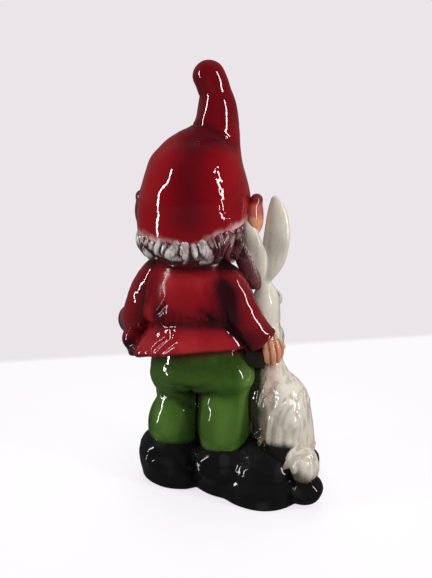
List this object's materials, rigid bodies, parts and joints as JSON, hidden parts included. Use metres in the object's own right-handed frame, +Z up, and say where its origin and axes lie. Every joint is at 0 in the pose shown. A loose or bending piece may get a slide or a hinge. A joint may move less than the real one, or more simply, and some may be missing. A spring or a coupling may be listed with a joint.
{
  "type": "garden gnome",
  "caption": "Glossy painted garden gnome in a red pointed hat, red jacket and green trousers, with a white rabbit beside it on a black plinth",
  "frame": {"origin": "centre of the footprint's bounding box, on the ground", "axes": "+Z up, the gnome looks along -Y, its right hand side and the rabbit are on -X"},
  "size_m": [0.1759, 0.1071, 0.3298],
  "materials": {
    "black_gloss": "glossy black lacquer",
    "green_gloss": "glossy green lacquer with airbrushed shading",
    "jacket_red": "glossy red lacquer with dark airbrushed folds",
    "hat_red": "glossy red lacquer fading to pink at the brim",
    "button_gold": "glossy ochre paint",
    "skin": "glossy flesh tone with rosy airbrush",
    "hair_white": "glossy white with brown-red grooves",
    "rabbit_white": "glossy warm white with pink and grey airbrush"
  },
  "bodies": {
    "root": {"base_plinth": "black_gloss", "left_shoe": "black_gloss", "right_shoe": "black_gloss", "left_trouser_leg": "green_gloss", "right_trouser_leg": "green_gloss", "trouser_seat": "green_gloss", "jacket_skirt": "jacket_red", "jacket_body": "jacket_red", "jacket_buttons": "button_gold", "left_sleeve": "jacket_red", "right_sleeve": "jacket_red", "left_hand": "skin", "right_hand": "skin", "head": "skin", "nose": "skin", "left_ear": "skin", "right_ear": "skin", "eyebrows": "hair_white", "hair": "hair_white", "beard": "hair_white", "moustache": "hair_white", "hat_crown": "hat_red", "hat_tip": "hat_red", "rabbit_body": "rabbit_white", "rabbit_head": "rabbit_white", "rabbit_left_ear": "rabbit_white", "rabbit_right_ear": "rabbit_white", "rabbit_tail": "rabbit_white", "rabbit_left_foreleg": "rabbit_white", "rabbit_right_foreleg": "rabbit_white", "rabbit_left_hind_foot": "rabbit_white", "rabbit_right_hind_foot": "rabbit_white"}
  },
  "joints": []
}
